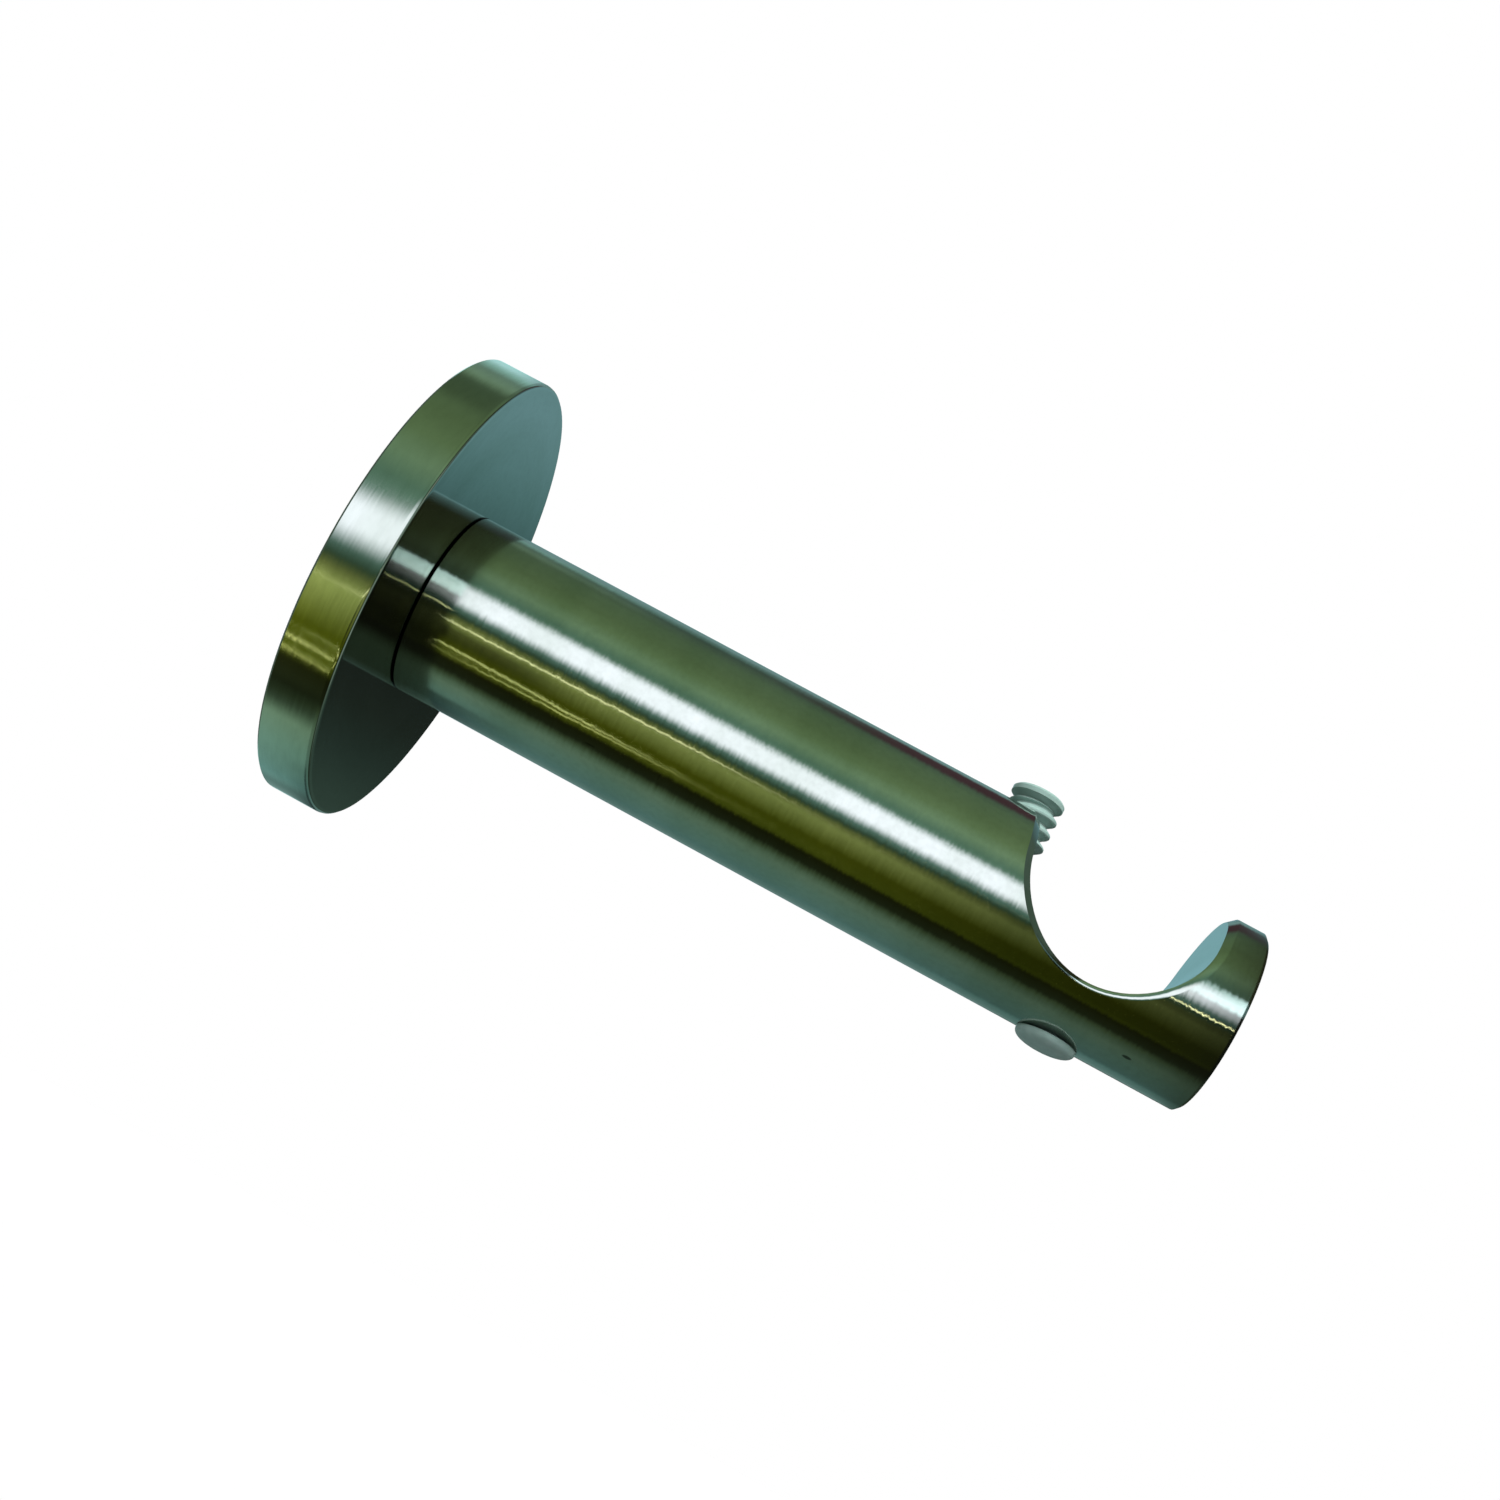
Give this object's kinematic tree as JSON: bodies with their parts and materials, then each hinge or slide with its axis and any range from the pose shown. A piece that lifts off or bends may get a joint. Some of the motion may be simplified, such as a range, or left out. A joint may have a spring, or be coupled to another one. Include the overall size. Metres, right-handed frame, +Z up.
{
  "type": "curtain pole bracket",
  "caption": "Wall bracket for a curtain pole: a round rose, a solid round arm and a U-shaped seat cut across its end, with a coarse screw that locks the pole.",
  "frame": {"origin": "on the wall, at the centre of the rose's back, on the axis of the arm", "axes": "+X out of the wall along the arm, +Z up, the way the seat opens, +Y along the pole"},
  "size_m": [0.12, 0.0624, 0.0624],
  "materials": {
    "satin_nickel": "satin nickel plate over turned steel, brushed round the axis",
    "zinc_steel": "zinc plated steel",
    "natural_nylon": "uncoloured nylon with a soft sheen"
  },
  "bodies": {
    "bracket": {"wall_plate": "zinc_steel", "centre_stud": "zinc_steel", "rose": "satin_nickel", "arm": "satin_nickel", "seat_plug": "natural_nylon"},
    "lock_screw": {"pole_lock_screw": "natural_nylon"}
  },
  "joints": [
    {"name": "lock_screw_travel", "type": "slide", "parent": "bracket", "child": "lock_screw", "axis": [0, 0, 1], "range_m": [-0.0018, 0.0028]}
  ]
}
